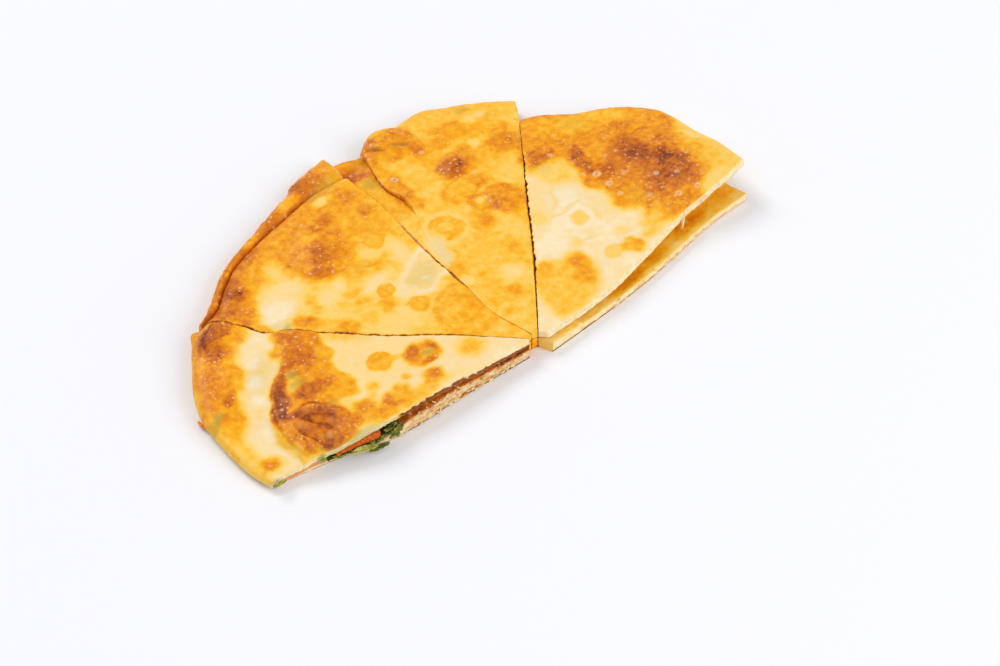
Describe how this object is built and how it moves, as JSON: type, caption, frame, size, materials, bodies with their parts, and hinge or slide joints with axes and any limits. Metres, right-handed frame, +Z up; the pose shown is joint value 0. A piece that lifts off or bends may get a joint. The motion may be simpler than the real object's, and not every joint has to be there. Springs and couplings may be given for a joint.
{
  "type": "scallion pancake",
  "caption": "Pan-fried filled flatbread cut in slices that still lie together as a half round, with greens and carrot showing at one cut.",
  "frame": {"origin": "middle of the footprint, on the flat underside", "axes": "+Z up, +X along the straight cut side from slice 1 to slice 4, +Y towards the round rim"},
  "size_m": [0.2487, 0.1405, 0.0164],
  "materials": {
    "crust_top": "fried dough, oily sheen",
    "crust_base": "fried dough, matt at the cuts",
    "greens": "cooked leaves, moist",
    "carrot": "cooked carrot, moist"
  },
  "bodies": {
    "root": {"slice_1_top": "crust_top", "slice_2_top": "crust_top", "slice_3_top": "crust_top", "slice_4_top": "crust_top", "slice_1_base": "crust_base", "slice_2_base": "crust_base", "slice_3_base": "crust_base", "slice_4_base": "crust_base", "crust_flake_1": "crust_base", "crust_flake_2": "crust_base", "greens_layer": "greens", "leaf_1": "greens", "leaf_2": "greens", "leaf_3": "greens", "green_bit_1": "greens", "green_bit_2": "greens", "carrot_strip": "carrot"}
  },
  "joints": []
}
